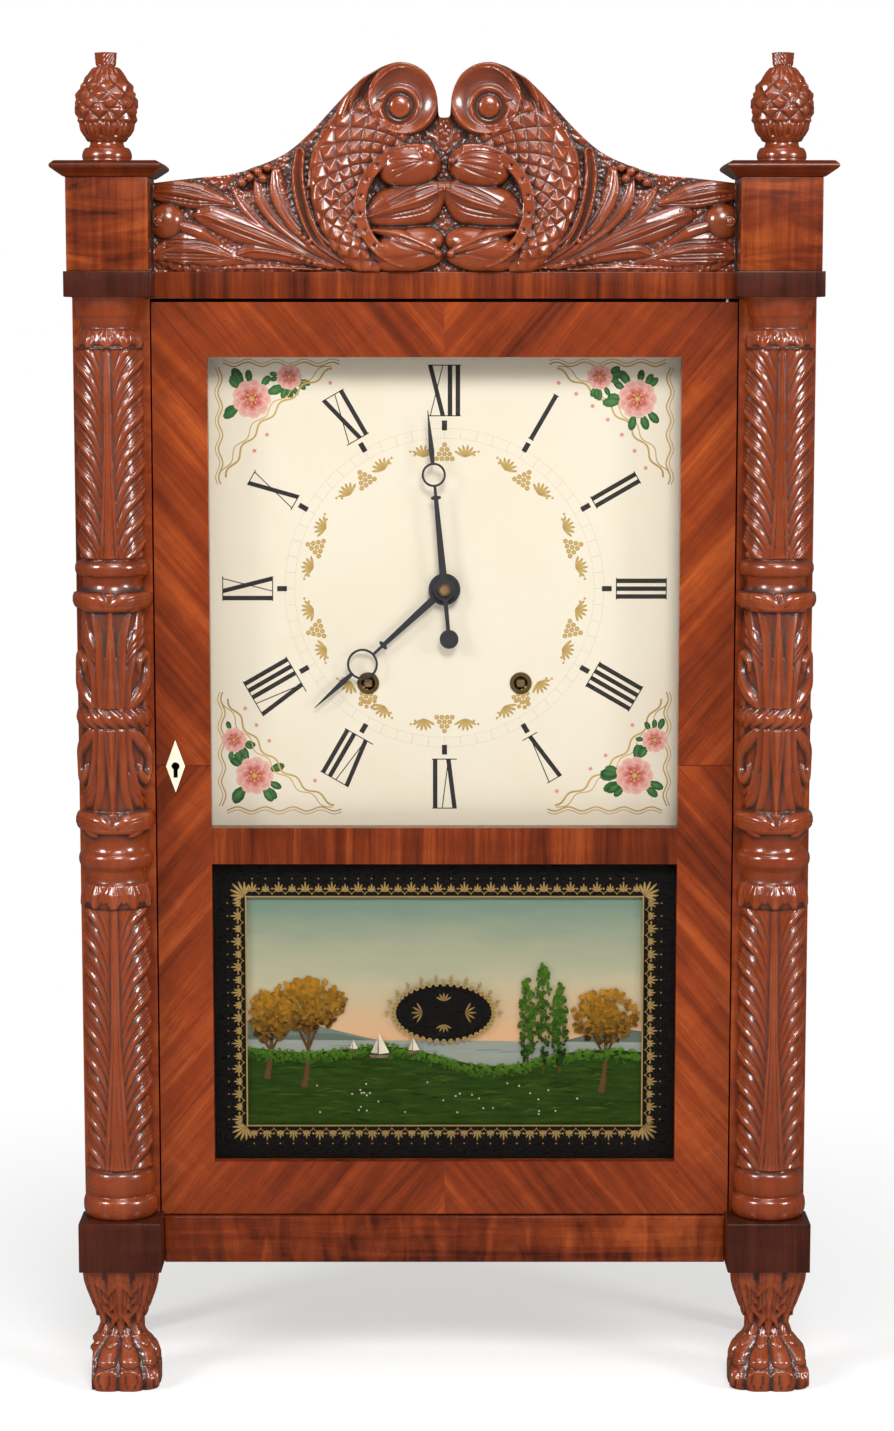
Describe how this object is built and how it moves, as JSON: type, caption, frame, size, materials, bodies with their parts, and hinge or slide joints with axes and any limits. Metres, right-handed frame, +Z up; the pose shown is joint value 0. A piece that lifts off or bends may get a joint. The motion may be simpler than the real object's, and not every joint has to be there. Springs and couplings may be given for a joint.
{
  "type": "shelf clock",
  "caption": "Weight-driven shelf clock in a mahogany case with carved half columns, scrolled horn-of-plenty crest, paw feet and a door with a painted tablet.",
  "frame": {"origin": "on the floor under the middle of the clock's overall box", "axes": "+Z up, -Y towards the viewer (the dial and door face -Y), +X to the viewer's right"},
  "size_m": [0.5228, 0.1598, 0.914],
  "materials": {
    "veneer": "flame-figured mahogany veneer, aged shellac",
    "crossband": "vertical crossband mahogany veneer",
    "dark_block": "dark mahogany, worn polish",
    "carved_wood": "carved and stained wood, dark in the hollows",
    "secondary_wood": "unpolished softwood, aged",
    "movement_wood": "oak plates and fruitwood wheels, unpolished",
    "clear_glass": "clear old window glass",
    "painted_glass": "reverse-painted tablet with gold stencilling",
    "dial_paint": "painted dial board, ivory ground",
    "ivory": "polished bone inlay",
    "dark_iron": "dark oxidised iron",
    "brass": "aged brass",
    "steel": "drawn steel wire and pins",
    "cast_weight": "rough cast iron",
    "cord": "twisted cotton cord"
  },
  "bodies": {
    "case": {"case_sides": "veneer", "back_board": "secondary_wood", "case_bottom_board": "secondary_wood", "case_top_board": "secondary_wood", "stile_boards": "veneer", "top_rail": "crossband", "bottom_rail": "veneer", "plinth_blocks": "dark_block", "frieze_blocks": "dark_block", "corner_dies": "veneer", "die_caps": "veneer", "half_column_left": "carved_wood", "half_column_right": "carved_wood", "finials": "carved_wood", "crest": "carved_wood", "front_feet": "carved_wood", "rear_feet": "secondary_wood", "mounting_rails": "secondary_wood", "dial_board": "dial_paint", "winding_hole_rings": "brass", "movement_plates": "movement_wood", "plate_pillars": "movement_wood", "bell": "brass", "door_pivot_pins": "steel", "time_cord": "cord", "strike_cord": "cord"},
    "door": {"door_stile_left": "veneer", "door_stile_right": "veneer", "door_top_rail": "veneer", "door_mid_rail": "crossband", "door_bottom_rail": "veneer", "tablet_glass": "painted_glass", "dial_glass": "clear_glass", "glazing_beads": "secondary_wood", "keyhole_escutcheon": "ivory", "door_lock": "dark_iron"},
    "bolt": {"lock_bolt": "steel"},
    "minute": {"minute_hand": "dark_iron", "hand_collet": "brass", "centre_wheel": "movement_wood"},
    "hour": {"hour_hand": "dark_iron", "hour_wheel": "movement_wood"},
    "minute_gear": {"minute_wheel": "movement_wood"},
    "second_gear": {"second_wheel": "movement_wood"},
    "third_gear": {"third_wheel": "movement_wood"},
    "escape_gear": {"escape_wheel": "brass"},
    "verge": {"verge": "steel"},
    "pendulum": {"pendulum": "brass"},
    "time_great": {"time_great_wheel": "movement_wood"},
    "time_drum": {"time_drum": "movement_wood"},
    "time_weight": {"time_weight": "cast_weight"},
    "time_pulley": {"time_pulley": "movement_wood"},
    "strike_great": {"strike_great_wheel": "movement_wood"},
    "strike_drum": {"strike_drum": "movement_wood"},
    "strike_weight": {"strike_weight": "cast_weight"},
    "strike_pulley": {"strike_pulley": "movement_wood"},
    "pin_gear": {"pin_wheel": "movement_wood"},
    "fly": {"fly": "movement_wood"},
    "count_gear": {"count_wheel": "movement_wood"},
    "hammer": {"hammer": "steel"}
  },
  "joints": [
    {"name": "door_hinge", "type": "hinge", "parent": "case", "child": "door", "pos_m": [0.1915, -0.037, 0.433], "axis": [0, 0, 1], "range_deg": [0, 90]},
    {"name": "lock_bolt_slide", "type": "slide", "parent": "door", "child": "bolt", "axis": [-1, 0, 0], "range_m": [0, 0.007]},
    {"name": "minute_hand_spin", "type": "hinge", "parent": "case", "child": "minute", "pos_m": [0, 0.039, 0.553], "axis": [0, 1, 0], "continuous": true},
    {"name": "hour_hand_spin", "type": "hinge", "parent": "case", "child": "hour", "pos_m": [0, 0, 0.553], "axis": [0, 1, 0], "continuous": true},
    {"name": "minute_wheel_spin", "type": "hinge", "parent": "case", "child": "minute_gear", "pos_m": [0, 0.008, 0.577], "axis": [0, 1, 0], "continuous": true},
    {"name": "second_wheel_spin", "type": "hinge", "parent": "case", "child": "second_gear", "pos_m": [-0.06583, 0.039, 0.53355], "axis": [0, 1, 0], "continuous": true},
    {"name": "third_wheel_spin", "type": "hinge", "parent": "case", "child": "third_gear", "pos_m": [0.01211, 0.039, 0.51322], "axis": [0, 1, 0], "continuous": true},
    {"name": "escape_wheel_spin", "type": "hinge", "parent": "case", "child": "escape_gear", "pos_m": [0, 0.039, 0.479], "axis": [0, 1, 0], "continuous": true},
    {"name": "time_great_wheel_spin", "type": "hinge", "parent": "case", "child": "time_great", "pos_m": [-0.053, 0.039, 0.4873], "axis": [0, 1, 0], "continuous": true},
    {"name": "time_drum_spin", "type": "hinge", "parent": "case", "child": "time_drum", "pos_m": [-0.053, 0.039, 0.4873], "axis": [0, 1, 0], "continuous": true},
    {"name": "time_pulley_spin", "type": "hinge", "parent": "case", "child": "time_pulley", "pos_m": [-0.17645, 0.046, 0.7635], "axis": [0, 1, 0], "continuous": true},
    {"name": "time_weight_slide", "type": "slide", "parent": "case", "child": "time_weight", "axis": [0, 0, 1], "range_m": [0, 0.43], "deforming": ["time_cord"]},
    {"name": "strike_great_wheel_spin", "type": "hinge", "parent": "case", "child": "strike_great", "pos_m": [0.053, 0.039, 0.4873], "axis": [0, 1, 0], "continuous": true},
    {"name": "strike_drum_spin", "type": "hinge", "parent": "case", "child": "strike_drum", "pos_m": [0.053, 0.039, 0.4873], "axis": [0, 1, 0], "continuous": true},
    {"name": "strike_pulley_spin", "type": "hinge", "parent": "case", "child": "strike_pulley", "pos_m": [0.17645, 0.046, 0.7635], "axis": [0, 1, 0], "continuous": true},
    {"name": "strike_weight_slide", "type": "slide", "parent": "case", "child": "strike_weight", "axis": [0, 0, 1], "range_m": [0, 0.43], "deforming": ["strike_cord"]},
    {"name": "pin_wheel_spin", "type": "hinge", "parent": "case", "child": "pin_gear", "pos_m": [0.06583, 0.039, 0.53355], "axis": [0, 1, 0], "continuous": true},
    {"name": "fly_spin", "type": "hinge", "parent": "case", "child": "fly", "pos_m": [0.04674, 0.039, 0.55631], "axis": [0, 1, 0], "continuous": true},
    {"name": "count_wheel_spin", "type": "hinge", "parent": "case", "child": "count_gear", "pos_m": [0.08473, 0.008, 0.56629], "axis": [0, 1, 0], "continuous": true},
    {"name": "pendulum_swing", "type": "hinge", "parent": "case", "child": "pendulum", "pos_m": [0, 0.0005, 0.514], "axis": [0, 1, 0], "range_deg": [-3, 3]},
    {"name": "verge_swing", "type": "hinge", "parent": "case", "child": "verge", "pos_m": [0, 0.0075, 0.514], "axis": [0, 1, 0], "range_deg": [-3, 3]},
    {"name": "hammer_swing", "type": "hinge", "parent": "case", "child": "hammer", "pos_m": [0.0996, 0.039, 0.47], "axis": [0, -1, 0], "range_deg": [0, 10]}
  ],
  "couplings": [
    {"joint": "hour_hand_spin", "follows": "minute_hand_spin", "ratio": 0.083333},
    {"joint": "minute_wheel_spin", "follows": "minute_hand_spin", "ratio": -0.33333},
    {"joint": "second_wheel_spin", "follows": "minute_hand_spin", "ratio": -1.1667},
    {"joint": "third_wheel_spin", "follows": "minute_hand_spin", "ratio": -8},
    {"joint": "escape_wheel_spin", "follows": "minute_hand_spin", "ratio": 80},
    {"joint": "time_great_wheel_spin", "follows": "minute_hand_spin", "ratio": 0.16667},
    {"joint": "time_drum_spin", "follows": "time_weight_slide", "rad_per_m": -61.538},
    {"joint": "time_pulley_spin", "follows": "time_weight_slide", "rad_per_m": 65.574},
    {"joint": "strike_drum_spin", "follows": "strike_weight_slide", "rad_per_m": 61.538},
    {"joint": "strike_pulley_spin", "follows": "strike_weight_slide", "rad_per_m": -65.574},
    {"joint": "pin_wheel_spin", "follows": "strike_great_wheel_spin", "ratio": -7},
    {"joint": "fly_spin", "follows": "strike_great_wheel_spin", "ratio": 56},
    {"joint": "count_wheel_spin", "follows": "strike_great_wheel_spin", "ratio": 0.53846},
    {"joint": "verge_swing", "follows": "pendulum_swing", "ratio": 1}
  ]
}
